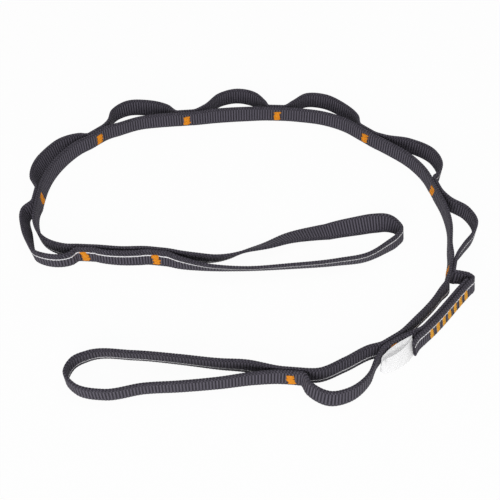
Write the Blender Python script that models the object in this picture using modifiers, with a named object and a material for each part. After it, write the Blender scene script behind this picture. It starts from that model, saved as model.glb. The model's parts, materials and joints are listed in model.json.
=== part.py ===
"""Climbing daisy chain.

One long webbing tape is sewn end to end into a closed loop, and bar tacks sew its two strands together.
That leaves ten pockets in a row and a longer loop at each end. The chain lies coiled on a flat surface,
with the tape standing on its edge. It flexes beside each bar tack, so it is cut there into rigid links.

The frame is +Z up, with the origin in the middle of the footprint, on the surface that the chain lies on.
"""

import math

import bmesh
import bpy
from mathutils import Matrix, Vector
from mathutils.geometry import interpolate_bezier

# Sizes of the tape, in metres
TAPE_WIDTH = 0.018
TAPE_THICKNESS = 0.0028
EDGE_CHAMFER = 0.0008
SEWN_GAP = 0.0003

# Sizes of the sewing pattern. A bar tack is a pad of stitches on either face, with threads through the tape
POCKET_PITCH = 0.093
TACK_LENGTH = 0.008
TACK_HEIGHT = 0.0120
TACK_DROP = 0.0017
TACK_SLANT = 12.0
PAD_THICKNESS = 0.0007
PAD_BEVEL = 0.0002
THREAD_LENGTH = 0.0034
THREAD_HEIGHT = 0.0014
THREAD_SPACING = 0.0048
THREAD_ROWS = (-1, 0, 1)

# Sizes of the splice, where the tape's two ends are sewn onto each other
SPLICE_TACK_LENGTH = 0.0045
SPLICE_TACK_SLANT = 6.0
SPLICE_TACK_COUNT = 7
SPLICE_THREAD_LENGTH = 0.0012

# Sizes of the folded label
LABEL_HEIGHT = 0.0135
LABEL_THICKNESS = 0.0004
LABEL_FOOT = 0.0016

# The flex beside each bar tack: the tape is cut there to a point on the axis, and the cut opens both ways
FLEX_REACH = 0.0025
FLEX_GAP = 0.0004
FLEX_HALF_ANGLE = 20.5
STRAIGHT_REACH = 0.001
CUTTER_OVERRUN = 0.004

# How finely a tape is stepped: the longest step, and the most that it turns or tilts in one step
STEP_LENGTH = 0.014
STEP_TURN = 17.0
STEP_TILT = 17.0
DENSE_SAMPLES = 16
WELD_DISTANCE = 0.000005

# The lay of the chain. Each pocket: its chord as a share of the pitch, and the way that the chord points
CHORD_SHARES = (0.686, 0.891, 1.013, 0.980, 0.992, 1.009, 1.003, 1.028, 1.040, 0.969)
CHORD_ANGLES = (176.5, 128.1, 60.2, 16.9, 4.5, -20.2, -50.6, -88.8, -127.6, -160.8)
# Each bar tack: the way that the chain runs under it, and how far the tape's top leans out
TACK_HEADINGS = (173.0, 177.0, 87.0, 42.0, 5.0, -2.0, -41.0, -74.0, -105.0, -147.0, -185.0)
TACK_LEANS = (-10.0, -5.0, 5.0, 0.0, 0.0, 0.0, 0.0, 0.0, 0.0, -9.0, -6.0)
# The flex is before the tack, seen along the chain, but past the tenth tack, which the label covers
FLEX_SIDES = (-1, -1, -1, -1, -1, -1, -1, -1, -1, 1, -1)
# The pocket that the other links hang on
ROOT_POCKET = 5

# Each strand between its tacks: (share of its free length, share of the pitch to the outside, outward lean)
STRAIGHT_SHARES = (
    ((0.525, -0.010, -6),),
    ((0.094, 0.122, 0), (0.397, 0.238, 6), (0.761, 0.189, 6), (0.955, 0.089, 3)),
    ((0.279, 0.095, 7), (0.575, 0.112, 6), (0.847, 0.071, 3)),
    ((0.219, 0.041, -3), (0.481, 0.066, -3), (0.754, 0.042, 0)),
    ((0.279, 0.003, 4), (0.694, 0.007, 4)),
    ((0.220, 0.051, 0), (0.516, 0.091, 0), (0.847, 0.064, 0)),
    ((0.220, 0.038, 0), (0.634, 0.087, 0), (0.907, 0.052, 0)),
    ((0.256, 0.054, 0), (0.515, 0.068, 0), (0.810, 0.029, 0)),
    ((0.140, 0.066, -23), (0.409, 0.069, -18), (0.728, 0.041, -14)),
    ((0.192, 0.007, -11), (0.500, 0.051, -10), (0.845, 0.070, -7)),
)
LOOP_SHARES = (
    ((0.202, 0.028, -8), (0.525, 0.042, -6), (0.914, 0.027, -4)),
    (
        (-0.051, 0.142, 0), (0.150, 0.347, 13), (0.290, 0.391, 15), (0.440, 0.372, 15), (0.712, 0.311, 22),
        (0.975, 0.211, 14),
    ),
    ((0.090, 0.173, 12), (0.315, 0.266, 19), (0.539, 0.278, 17), (0.752, 0.249, 10), (0.941, 0.133, 2)),
    ((0.088, 0.112, -2), (0.183, 0.258, -2), (0.397, 0.333, 8), (0.659, 0.278, 12), (0.897, 0.154, 4)),
    ((0.160, 0.084, 0), (0.374, 0.256, 1), (0.611, 0.303, 6), (0.825, 0.236, 7), (0.955, 0.100, 0)),
    ((0.078, 0.143, 0), (0.196, 0.297, 3), (0.421, 0.350, 6), (0.693, 0.292, 5), (0.930, 0.168, 0)),
    ((0.137, 0.082, 0), (0.397, 0.243, 4), (0.729, 0.316, 6), (0.918, 0.246, 3), (1.008, 0.120, 0)),
    ((0.138, 0.105, 0), (0.303, 0.266, 0), (0.492, 0.322, 0), (0.657, 0.265, 0), (0.810, 0.157, 0)),
    (),
    ((0.152, 0.118, -3), (0.322, 0.252, -4), (0.586, 0.336, -8), (0.820, 0.315, -8), (0.982, 0.166, -6)),
)

# Where the splice's first tack is on its sewn line, and its tacks' spacing, as shares of the pocket pitch
SPLICE_TACK_START_SHARE = 0.0914
SPLICE_TACK_PITCH_SHARE = 0.0925

# The splice: the bend of the outer layer, the sewn line between the layers, and the ways on of both
BEND_SHARES = ((-0.042, 0.105, 0), (-0.078, 0.183, -5), (-0.068, 0.237, -10), (-0.037, 0.245, -13))
SEWN_SHARES = (
    (-0.002, 0.223, -13), (0.158, 0.211, -13), (0.409, 0.200, -13), (0.637, 0.185, -13),
    (0.797, 0.164, -13),
)
OUTER_END_SHARES = ((0.911, 0.167, -14), (0.991, 0.175, -14))
INNER_WAY_SHARES = ((0.877, 0.107, -11), (0.957, 0.064, -9))

# The label, from the tack that it covers: (share of the pitch along the chain, share to the outside, tilt)
LABEL_SHARES = (
    (-0.168, 0.060, 11), (-0.10, 0.053, 9), (0.03, 0.054, 8), (0.13, 0.071, 8), (0.205, 0.100, 5),
    (0.219, 0.113, 0), (0.205, 0.125, -14), (0.13, 0.143, -30), (0.03, 0.149, -35), (-0.10, 0.122, -28),
    (-0.165, 0.086, -16),
)

# The end loops, from their bar tack: (share of the pitch along X, along Y, tilt). The first is half twisted
FIRST_LOOP_SHARES = (
    (0.23, -0.005, 4), (0.40, -0.020, 12), (0.585, -0.023, 21), (0.703, 0.006, 28), (0.838, 0.067, 37),
    (1.069, 0.157, 52), (1.284, 0.262, 67), (1.542, 0.338, 82), (1.757, 0.387, 97), (1.95, 0.415, 112),
    (2.130, 0.432, 132), (2.250, 0.418, 155), (2.334, 0.364, 176), (2.384, 0.292, 188), (2.332, 0.206, 185),
    (2.213, 0.110, 178), (2.018, -0.009, 167), (1.735, -0.066, 160), (1.282, -0.114, 154),
    (0.791, -0.143, 151), (0.456, -0.124, 162), (0.21, -0.070, 181),
)
SECOND_LOOP_SHARES = (
    (-0.396, 0.100, 0), (-0.613, 0.117, -4), (-0.961, 0.163, -7), (-1.374, 0.206, -9), (-1.780, 0.200, -7),
    (-1.904, 0.128, -3), (-1.950, -0.008, 0), (-1.855, -0.124, 2), (-1.607, -0.184, 4), (-1.262, -0.124, 4),
    (-0.955, -0.104, 3), (-0.611, -0.069, 1), (-0.30, -0.023, -3),
)
HALF_TWIST = 180.0

# Finishes: base colour, roughness
WEBBING = ("webbing", (0.085, 0.080, 0.095, 1.0), 0.85)
THREAD = ("stitching thread", (0.850, 0.280, 0.030, 1.0), 0.55)
LABEL_TAPE = ("label tape", (0.860, 0.860, 0.850, 1.0), 0.60)

# Sizes worked out from the ones above
LAYER_PITCH = TAPE_THICKNESS + SEWN_GAP
FLEX_SETBACK = TACK_LENGTH / 2 + FLEX_REACH
PAD_PLACE = LAYER_PITCH / 2 + TAPE_THICKNESS / 2 + SEWN_GAP + PAD_THICKNESS / 2

STRAIGHT_SIDE = -1
LOOP_SIDE = 1


# The lay of the chain

def direction(angle):
    """The unit vector of the plan that points this way, in degrees from +X."""
    return Vector((math.cos(math.radians(angle)), math.sin(math.radians(angle))))


def left_of(vector):
    """The plan vector turned a quarter turn to the left."""
    return Vector((-vector.y, vector.x))


def tack_places():
    """The place of each bar tack in the plan, counted from the first one."""
    places = [Vector((0.0, 0.0))]
    for share, angle in zip(CHORD_SHARES, CHORD_ANGLES):
        places.append(places[-1] + direction(angle) * POCKET_PITCH * share)
    return places


TACK_PLACES = tack_places()


def flex_place(tack):
    """The place in the plan of the flex axis beside a bar tack."""
    return TACK_PLACES[tack] + direction(TACK_HEADINGS[tack]) * FLEX_SIDES[tack] * FLEX_SETBACK


def seam_station(tack, side, along, way=1):
    """A station on a strand near its bar tack. way is -1 where the tape is followed back down the chain."""
    heading = direction(TACK_HEADINGS[tack])
    lean = TACK_LEANS[tack]
    offset = side * LAYER_PITCH / 2 / math.cos(math.radians(lean))
    place = TACK_PLACES[tack] + heading * along + left_of(heading) * offset
    return (*place, -way * lean)


def seam_lead(tack):
    """How far past its first tack a strand runs straight."""
    return max(FLEX_SIDES[tack] * FLEX_SETBACK, TACK_LENGTH / 2) + 2 * STRAIGHT_REACH


def seam_tail(tack):
    """How far before its last tack a strand runs straight."""
    return max(-FLEX_SIDES[tack] * FLEX_SETBACK, TACK_LENGTH / 2) + 2 * STRAIGHT_REACH


def seam_start(tack, side):
    """The stations of a strand from the flex axis at its first tack to where it leaves the seam."""
    end = seam_lead(tack)
    reaches = (FLEX_SIDES[tack] * FLEX_SETBACK, end - STRAIGHT_REACH, end)
    return [seam_station(tack, side, along) for along in reaches]


def seam_end(tack, side):
    """The stations of a strand from where it joins the seam to the flex axis at its last tack."""
    begin = -seam_tail(tack)
    reaches = (begin, begin + STRAIGHT_REACH, FLEX_SIDES[tack] * FLEX_SETBACK)
    return [seam_station(tack, side, along) for along in reaches]


def pocket_stations(pocket, shares):
    """Stations of a pocket from its table of shares: along its free length, to the outside, and its lean."""
    start = TACK_PLACES[pocket]
    chord = TACK_PLACES[pocket + 1] - start
    along = chord.normalized()
    lead = seam_lead(pocket)
    free = chord.length - lead - seam_tail(pocket + 1)
    outward = left_of(along) * POCKET_PITCH
    return [(*(start + along * (lead + free * u) + outward * v), -lean) for u, v, lean in shares]


def strand_stations(pocket, side, shares):
    """The stations of one strand, from flex axis to flex axis."""
    return seam_start(pocket, side) + pocket_stations(pocket, shares) + seam_end(pocket + 1, side)


def loop_stations(tack, shares):
    """Stations of an end loop from its table of shares, measured from its bar tack along X and Y."""
    start = TACK_PLACES[tack]
    return [(start.x + x * POCKET_PITCH, start.y + y * POCKET_PITCH, tilt) for x, y, tilt in shares]


def first_loop_stations():
    """The loop before the first bar tack, from the straight strand to the loop strand, half twisted."""
    reach = [-FLEX_SETBACK - step * STRAIGHT_REACH for step in range(3)]
    out = [seam_station(0, STRAIGHT_SIDE, along, way=-1) for along in reach]
    back = [seam_station(0, LOOP_SIDE, along) for along in reversed(reach)]
    back = [(x, y, tilt + HALF_TWIST) for x, y, tilt in back]
    return out + loop_stations(0, FIRST_LOOP_SHARES) + back


def second_loop_stations():
    """The loop past the last bar tack: out along the straight strand, and back under the tack again."""
    last = len(TACK_PLACES) - 1
    end = TACK_LENGTH / 2 + STRAIGHT_REACH
    reach = (-FLEX_SETBACK, end, end + STRAIGHT_REACH)
    out = [seam_station(last, STRAIGHT_SIDE, along) for along in reach]
    back = [seam_station(last, LOOP_SIDE, along, way=-1) for along in reversed(reach)]
    return out + loop_stations(last, SECOND_LOOP_SHARES) + back


def label_stations():
    """The stations of the folded label, from the tenth bar tack, which it covers."""
    tack = FLEX_SIDES.index(1)
    heading = direction(TACK_HEADINGS[tack]) * POCKET_PITCH
    return [(*(TACK_PLACES[tack] + heading * u + left_of(heading) * v), tilt) for u, v, tilt in LABEL_SHARES]


# Smooth lines through stations. A station is a place in the plan and the tilt of the tape there, in degrees

def smooth(stations):
    """A dense smooth line: cubic arcs, each station's slope being the mean of the slopes on either side."""
    points = [Vector(station) for station in stations]
    spans = [(b.xy - a.xy).length for a, b in zip(points, points[1:])]
    slopes = [(b - a) / span for a, b, span in zip(points, points[1:], spans)]
    means = [slopes[0]]
    for i in range(1, len(spans)):
        share = spans[i - 1] / (spans[i - 1] + spans[i])
        means.append(slopes[i - 1].lerp(slopes[i], share))
    means.append(slopes[-1])
    line = [points[0]]
    for a, b, p, q, span in zip(points, points[1:], means, means[1:], spans):
        line += interpolate_bezier(a, a + p * span / 3, b - q * span / 3, b, DENSE_SAMPLES + 1)[1:]
    return line


def stepped(line):
    """The points of a dense line that a tape's sections stand on, closer together where it turns."""
    costs = [0.0]
    for i in range(1, len(line)):
        step = line[i].xy - line[i - 1].xy
        turn = math.degrees(step.angle(line[i - 1].xy - line[i - 2].xy)) if i > 1 else 0
        tilt = abs(line[i].z - line[i - 1].z)
        costs.append(costs[-1] + step.length / STEP_LENGTH + turn / STEP_TURN + tilt / STEP_TILT)
    count = math.ceil(costs[-1])
    wanted = [costs[-1] * i / count for i in range(count + 1)]
    return [line[min(range(len(line)), key=lambda j: abs(costs[j] - cost))] for cost in wanted]


def beside(line, side):
    """The line half a layer to one side of a line between two sewn layers."""
    moved = []
    for i, point in enumerate(line):
        along = line[min(i + 1, len(line) - 1)].xy - line[max(i - 1, 0)].xy
        offset = side * LAYER_PITCH / 2 / math.cos(math.radians(point.z))
        place = point.xy + left_of(along.normalized()) * offset
        moved.append(Vector((*place, point.z)))
    return moved


# Solids

def new_object(name, data, collection, material=None):
    """An object in a collection, with its material."""
    piece = bpy.data.objects.new(name, data)
    collection.objects.link(piece)
    if material:
        data.materials.append(material)
    return piece


def meshed(piece):
    """The piece's curve, evaluated and made a closed mesh object in the curve's place."""
    name = piece.name
    evaluated = piece.evaluated_get(bpy.context.evaluated_depsgraph_get())
    mesh = bpy.data.meshes.new_from_object(evaluated)
    body = bmesh.new()
    body.from_mesh(mesh)
    bmesh.ops.remove_doubles(body, verts=body.verts, dist=WELD_DISTANCE)
    bmesh.ops.recalc_face_normals(body, faces=body.faces)
    body.to_mesh(mesh)
    body.free()
    matrix = piece.matrix_world.copy()
    collection = piece.users_collection[0]
    bpy.data.objects.remove(piece)
    solid = new_object(name, mesh, collection)
    solid.matrix_world = matrix
    return solid


def hide_guide(piece):
    """Marks a cutter or a guide, which isn't a piece of the chain."""
    piece.hide_render = True
    piece.display_type = "WIRE"
    return piece


def outline_curve(name, points, half_depth=0.0):
    """A closed flat outline, filled and as deep as asked."""
    curve = bpy.data.curves.new(name, "CURVE")
    curve.dimensions = "2D"
    curve.fill_mode = "BOTH"
    curve.extrude = half_depth
    spline = curve.splines.new("POLY")
    spline.points.add(len(points) - 1)
    for point, (x, y) in zip(spline.points, points):
        point.co = (x, y, 0.0, 1.0)
    spline.use_cyclic_u = True
    return curve


def section_points(thickness, width, chamfer):
    """A tape's section, across and up from its middle: a flat bar with its edges chamfered."""
    x = thickness / 2
    y = width / 2
    if not chamfer:
        return [(x, y), (-x, y), (-x, -y), (x, -y)]
    return [(x, y - chamfer), (x - chamfer, y), (chamfer - x, y), (-x, y - chamfer),
            (-x, chamfer - y), (chamfer - x, -y), (x - chamfer, -y), (x, chamfer - y)]


def middle_height(points, tilt):
    """The height of a section's middle over the surface when its lowest point lies on it."""
    sine = math.sin(math.radians(tilt))
    cosine = math.cos(math.radians(tilt))
    return -min(cosine * y - sine * x for x, y in points)


def tape(name, points, section, heights, collection, material):
    """A tape swept along stepped points, upright where the tilt is zero."""
    curve = bpy.data.curves.new(name, "CURVE")
    curve.dimensions = "3D"
    curve.twist_mode = "Z_UP"
    curve.bevel_mode = "OBJECT"
    curve.bevel_object = section
    curve.use_fill_caps = True
    spline = curve.splines.new("POLY")
    spline.points.add(len(points) - 1)
    for point, station in zip(spline.points, points):
        point.co = (station.x, station.y, heights(station.z), 1.0)
        point.tilt = math.radians(station.z)
    piece = meshed(new_object(name, curve, collection))
    piece.data.materials.clear()
    piece.data.materials.append(material)
    return piece


def box(mesh, size, middle, slant=0.0):
    """Adds a box to a bmesh. slant shears it along X with height, in degrees."""
    shear = Matrix.Identity(4)
    shear[0][2] = math.tan(math.radians(slant))
    matrix = shear @ Matrix.Translation(middle) @ Matrix.Diagonal((*size, 1.0))
    bmesh.ops.create_cube(mesh, size=1.0, matrix=matrix)


def boxes(name, parts, collection):
    """One object of separate boxes, each given by its size, its middle and its slant."""
    body = bmesh.new()
    for size, middle, slant in parts:
        box(body, size, middle, slant)
    mesh = bpy.data.meshes.new(name)
    body.to_mesh(mesh)
    body.free()
    return new_object(name, mesh, collection)


def boolean(piece, operand, operation):
    """Cuts or joins a piece with another object."""
    modifier = piece.modifiers.new(operand.name, "BOOLEAN")
    modifier.operation = operation
    modifier.solver = "EXACT"
    modifier.object = operand


def shaded_material(finish):
    """A plain material of one finish."""
    name, colour, roughness = finish
    material = bpy.data.materials.new(name)
    material.use_nodes = True
    shader = material.node_tree.nodes["Principled BSDF"]
    shader.inputs["Base Color"].default_value = colour
    shader.inputs["Roughness"].default_value = roughness
    material.diffuse_color = colour
    return material


class Chain:
    """The chain and its links. Each link is an empty on its flex axis, with its pieces parented to it."""

    def __init__(self):
        self.pieces = bpy.data.collections.new("Climbing daisy chain")
        self.guides = bpy.data.collections.new("Cutters and guides")
        for collection in (self.pieces, self.guides):
            bpy.context.scene.collection.children.link(collection)
        self.webbing = shaded_material(WEBBING)
        self.thread = shaded_material(THREAD)
        self.label_tape = shaded_material(LABEL_TAPE)
        self.origin = new_object("lay", None, self.guides)
        self.sections = section_points(TAPE_THICKNESS, TAPE_WIDTH, EDGE_CHAMFER)
        self.section = hide_guide(new_object("tape_section", outline_curve("tape_section", self.sections),
                                             self.guides))
        self.links = [self.link(number) for number in range(len(CHORD_SHARES) + 2)]
        self.flexes = [self.flex_cutter(tack) for tack in range(len(TACK_PLACES))]

    def link(self, number):
        """The empty of a link: 0 is the first end loop, 1 to 10 are pockets, and 11 is the last end loop."""
        name = f"pocket_{number}_axis"
        if number not in range(1, len(CHORD_SHARES) + 1):
            name = f"end_loop_{1 if number == 0 else 2}_axis"
        empty = new_object(name, None, self.guides)
        if number == ROOT_POCKET:
            place = (TACK_PLACES[number - 1] + TACK_PLACES[number]) / 2
        else:
            place = flex_place(number - 1 if number > ROOT_POCKET else number)
        empty.location = (*place, 0.0)
        empty.parent = self.origin
        return empty

    def add(self, piece, link):
        """Parents a piece to its link, where it stands, and gives it the link's origin."""
        piece.data.transform(Matrix.Translation(-self.links[link].location) @ piece.matrix_world)
        piece.matrix_world = Matrix.Identity(4)
        piece.parent = self.links[link]
        return piece

    def link_of_tack(self, tack):
        """The link that a bar tack belongs to."""
        return tack + 1 if FLEX_SIDES[tack] < 0 else tack

    def flex_cutter(self, tack):
        """The notch at a flex axis: an hourglass in the plan, narrowest on the axis."""
        waist = FLEX_GAP / 2
        reach = TAPE_WIDTH / 2
        brim = waist + reach * math.tan(math.radians(FLEX_HALF_ANGLE))
        far_side = [(waist, 0.0), (brim, reach), (-brim, reach)]
        near_side = [(-waist, 0.0), (-brim, -reach), (brim, -reach)]
        name = f"flex_{tack + 1}_cutter"
        curve = outline_curve(name, far_side + near_side, TAPE_WIDTH / 2 + CUTTER_OVERRUN)
        cutter = new_object(curve.name, curve, self.guides)
        cutter.location = (*flex_place(tack), TAPE_WIDTH / 2)
        cutter.rotation_euler.z = math.radians(TACK_HEADINGS[tack])
        bpy.context.view_layer.update()
        cutter = hide_guide(meshed(cutter))
        cutter.parent = self.origin
        return cutter

    def webbing_tape(self, name, points, link, cutters):
        """A stretch of the webbing with its cuts."""
        piece = tape(name, points, self.section, lambda tilt: middle_height(self.sections, tilt),
                     self.pieces, self.webbing)
        self.add(piece, link)
        for cutter in cutters:
            boolean(piece, cutter, "DIFFERENCE")
        return piece

    def tack(self, name, place, heading, lean, length, slant, thread_length, link):
        """A bar tack through two layers, with the cutter of its holes. The place is between the layers."""
        height = middle_height(self.sections, lean)
        turn = Matrix.Rotation(math.radians(heading), 4, "Z")
        frame = Matrix.Translation((*place, height)) @ turn @ Matrix.Rotation(math.radians(-lean), 4, "X")
        pad = (length, PAD_THICKNESS, TACK_HEIGHT)
        pads = [(pad, (0.0, side * PAD_PLACE, -TACK_DROP), slant) for side in (-1, 1)]
        rows = [(0.0, 0.0, row * THREAD_SPACING - TACK_DROP) for row in THREAD_ROWS]
        threads = [((thread_length, 2 * PAD_PLACE, THREAD_HEIGHT), row, 0.0) for row in rows]
        hole_depth = 2 * PAD_PLACE + 2 * CUTTER_OVERRUN
        hole = (thread_length + 2 * SEWN_GAP, hole_depth, THREAD_HEIGHT + 2 * SEWN_GAP)
        piece = boxes(name, pads, self.pieces)
        piece.data.materials.append(self.thread)
        core = boxes(f"{name}_threads", threads, self.guides)
        holes = boxes(f"{name}_holes", [(hole, row, 0.0) for row in rows], self.guides)
        for solid in (piece, core, holes):
            solid.matrix_world = frame
            self.add(solid, link)
        for cutter in (core, holes):
            hide_guide(cutter)
        bevel = piece.modifiers.new("worn edges", "BEVEL")
        bevel.width = min(PAD_BEVEL, PAD_THICKNESS / 3)
        bevel.segments = 1
        boolean(piece, core, "UNION")
        return holes

    def bar_tacks(self):
        """The bar tacks of the chain, and the cutters of their thread holes."""
        holes = []
        for tack, place in enumerate(TACK_PLACES):
            holes.append(self.tack(f"bar_tack_{tack + 1}", place, TACK_HEADINGS[tack], TACK_LEANS[tack],
                                   TACK_LENGTH, TACK_SLANT, THREAD_LENGTH, self.link_of_tack(tack)))
        return holes

    def strand(self, name, pocket, side, shares, holes):
        """One strand of a pocket, from flex axis to flex axis, with the holes of its own link's tacks."""
        link = pocket + 1
        ends = (pocket, pocket + 1)
        cutters = [self.flexes[tack] for tack in ends]
        cutters += [holes[tack] for tack in ends if self.link_of_tack(tack) == link]
        self.webbing_tape(name, stepped(smooth(strand_stations(pocket, side, shares))), link, cutters)

    def strands(self, holes):
        """Both strands of every pocket but the spliced one's loop strand."""
        for pocket, shares in enumerate(STRAIGHT_SHARES):
            self.strand(f"straight_strand_{pocket + 1}", pocket, STRAIGHT_SIDE, shares, holes)
        for pocket, shares in enumerate(LOOP_SHARES):
            if shares:
                self.strand(f"loop_strand_{pocket + 1}", pocket, LOOP_SIDE, shares, holes)

    def end_loops(self, holes):
        """The loops at both ends of the chain, each one stretch of webbing."""
        last = len(TACK_PLACES) - 1
        self.webbing_tape("end_loop_1", stepped(smooth(first_loop_stations())), 0, [self.flexes[0]])
        self.webbing_tape("end_loop_2", stepped(smooth(second_loop_stations())), last + 1,
                          [self.flexes[last], holes[last]])

    def splice_tacks(self, line, link):
        """The row of bar tacks along the sewn line, and the cutters of their thread holes."""
        holes = []
        start = POCKET_PITCH * SPLICE_TACK_START_SHARE
        spacing = POCKET_PITCH * SPLICE_TACK_PITCH_SHARE
        distances = [start + number * spacing for number in range(SPLICE_TACK_COUNT)]
        travelled = 0.0
        for a, b in zip(line, line[1:]):
            along = b.xy - a.xy
            for distance in distances:
                if travelled <= distance < travelled + along.length:
                    point = a.lerp(b, (distance - travelled) / along.length)
                    heading = math.degrees(math.atan2(along.y, along.x))
                    name = f"splice_tack_{len(holes) + 1}"
                    holes.append(self.tack(name, point.xy, heading, -point.z, SPLICE_TACK_LENGTH,
                                           SPLICE_TACK_SLANT, SPLICE_THREAD_LENGTH, link))
            travelled += along.length
        return holes

    def splice(self, holes):
        """The spliced pocket's loop strand: the tape's two ends, lapped and sewn onto each other."""
        pocket = LOOP_SHARES.index(())
        link = pocket + 1
        sewn = stepped(smooth(pocket_stations(pocket, SEWN_SHARES)))
        outer = beside(sewn, LOOP_SIDE)
        inner = beside(sewn, STRAIGHT_SIDE)
        bend = smooth([*seam_start(pocket, LOOP_SIDE), *pocket_stations(pocket, BEND_SHARES), *outer[:2]])
        bend = stepped(bend[:-DENSE_SAMPLES])
        end = pocket_stations(pocket, OUTER_END_SHARES)
        end = stepped(smooth([*outer[-2:], *end])[DENSE_SAMPLES:])
        way = [*inner[-2:], *pocket_stations(pocket, INNER_WAY_SHARES), *seam_end(pocket + 1, LOOP_SIDE)]
        way = stepped(smooth(way)[DENSE_SAMPLES:])
        sewn_holes = self.splice_tacks(sewn, link)
        self.webbing_tape("splice_outer_layer", bend + outer[1:] + end[1:], link,
                          [self.flexes[pocket], holes[pocket], *sewn_holes])
        self.webbing_tape("splice_inner_layer", inner + way[1:], link,
                          [self.flexes[pocket + 1], holes[pocket + 1], *sewn_holes])

    def label(self):
        """The label: a strip folded once, whose ends go in between the layers of the splice."""
        points = section_points(LABEL_THICKNESS, LABEL_HEIGHT, 0.0)
        outline = outline_curve("label_section", points)
        section = hide_guide(new_object("label_section", outline, self.guides))
        piece = tape("folded_label", stepped(smooth(label_stations())), section,
                     lambda tilt: LABEL_FOOT + middle_height(points, tilt), self.pieces, self.label_tape)
        self.add(piece, self.link_of_tack(FLEX_SIDES.index(1)))

    def centre(self):
        """Moves the lay so that the origin is in the middle of the footprint."""
        bpy.context.view_layer.update()
        graph = bpy.context.evaluated_depsgraph_get()
        solids = [piece.evaluated_get(graph) for piece in self.pieces.objects]
        corners = [solid.matrix_world @ vertex.co for solid in solids for vertex in solid.data.vertices]
        for axis in range(2):
            values = [corner[axis] for corner in corners]
            self.origin.location[axis] = -(min(values) + max(values)) / 2
        bpy.context.view_layer.update()


def build():
    """Builds the whole chain."""
    for piece in list(bpy.data.objects):
        bpy.data.objects.remove(piece)
    chain = Chain()
    holes = chain.bar_tacks()
    chain.strands(holes)
    chain.end_loops(holes)
    chain.splice(holes)
    chain.label()
    chain.centre()
    return chain


build()
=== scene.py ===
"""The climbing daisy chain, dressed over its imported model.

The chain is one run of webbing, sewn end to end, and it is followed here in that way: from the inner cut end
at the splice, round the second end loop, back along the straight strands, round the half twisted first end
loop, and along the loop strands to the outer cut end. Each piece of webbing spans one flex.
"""

from __future__ import annotations

import json
import logging
import math
import random
from collections.abc import Callable
from dataclasses import dataclass, field
from enum import Enum

import bmesh
import bpy
from mathutils import Matrix, Vector
from mathutils.geometry import interpolate_bezier


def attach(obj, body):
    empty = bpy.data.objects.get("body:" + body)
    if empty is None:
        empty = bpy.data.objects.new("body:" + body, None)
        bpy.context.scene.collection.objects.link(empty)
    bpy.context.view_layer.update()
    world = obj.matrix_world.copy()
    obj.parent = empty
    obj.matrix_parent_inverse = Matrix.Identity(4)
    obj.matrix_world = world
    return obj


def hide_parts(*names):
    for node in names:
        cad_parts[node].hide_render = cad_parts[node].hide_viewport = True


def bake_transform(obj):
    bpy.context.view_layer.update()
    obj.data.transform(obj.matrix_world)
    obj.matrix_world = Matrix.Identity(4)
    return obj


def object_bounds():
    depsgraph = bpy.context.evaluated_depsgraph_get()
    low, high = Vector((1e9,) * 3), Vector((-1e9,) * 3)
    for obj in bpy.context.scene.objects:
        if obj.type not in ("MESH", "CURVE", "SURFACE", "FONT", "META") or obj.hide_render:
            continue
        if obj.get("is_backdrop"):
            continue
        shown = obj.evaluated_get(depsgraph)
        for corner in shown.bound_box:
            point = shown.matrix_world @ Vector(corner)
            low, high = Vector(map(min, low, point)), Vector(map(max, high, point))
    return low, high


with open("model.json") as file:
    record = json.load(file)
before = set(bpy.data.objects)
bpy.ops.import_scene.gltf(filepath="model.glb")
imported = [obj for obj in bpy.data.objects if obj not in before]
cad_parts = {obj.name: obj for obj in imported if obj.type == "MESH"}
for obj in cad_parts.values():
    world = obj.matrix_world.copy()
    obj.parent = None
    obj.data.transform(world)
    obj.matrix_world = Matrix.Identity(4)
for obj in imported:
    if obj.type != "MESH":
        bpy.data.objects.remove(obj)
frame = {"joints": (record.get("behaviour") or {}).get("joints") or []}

log = logging.getLogger("daisy_chain")

# A place in the plan with the tilt there in degrees, a place in space, a start and an end, and a colour
Station = tuple[float, float, float]
Place = tuple[float, float, float]
Span = tuple[float, float]
Colour = tuple[float, float, float, float]

# The lay of the chain: chords of the pockets, and headings, leans and flexes at the tacks. It is the lay of
# the part's source, but for a few leans and shares at tacks 3 and 9 and along straight strand 9 and loop
# strand 2, which follow the real chain a millimetre or two more closely
POCKET_PITCH = 0.093
CHORD_SHARES = (0.686, 0.891, 1.013, 0.980, 0.992, 1.009, 1.003, 1.028, 1.040, 0.969)
CHORD_ANGLES = (176.5, 128.1, 60.2, 16.9, 4.5, -20.2, -50.6, -88.8, -127.6, -160.8)
TACK_HEADINGS = (173.0, 177.0, 87.0, 42.0, 5.0, -2.0, -41.0, -74.0, -105.0, -147.0, -185.0)
TACK_LEANS = (-10.0, -5.0, 8.0, 0.0, 0.0, 0.0, 0.0, 0.0, 4.0, -9.0, -6.0)
FLEX_SIDES = (-1, -1, -1, -1, -1, -1, -1, -1, -1, 1, -1)

# Each strand between its tacks: (share of its free length, share of the pitch to the outside, lean outwards)
STRAIGHT_SHARES = (
    ((0.525, -0.010, -6),),
    ((0.094, 0.122, 0), (0.397, 0.238, 6), (0.761, 0.189, 6), (0.955, 0.089, 3)),
    ((0.279, 0.095, 7), (0.575, 0.112, 6), (0.847, 0.071, 3)),
    ((0.219, 0.041, -3), (0.481, 0.066, -3), (0.754, 0.042, 0)),
    ((0.279, 0.003, 4), (0.694, 0.007, 4)),
    ((0.220, 0.051, 0), (0.516, 0.091, 0), (0.847, 0.064, 0)),
    ((0.220, 0.038, 0), (0.634, 0.087, 0), (0.907, 0.052, 0)),
    ((0.256, 0.054, 0), (0.515, 0.068, 0), (0.810, 0.029, 0)),
    ((0.140, 0.067, -14), (0.260, 0.063, -10), (0.409, 0.065, -7), (0.728, 0.039, -5)),
    ((0.192, 0.007, -11), (0.500, 0.051, -10), (0.845, 0.070, -7)),
)
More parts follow.
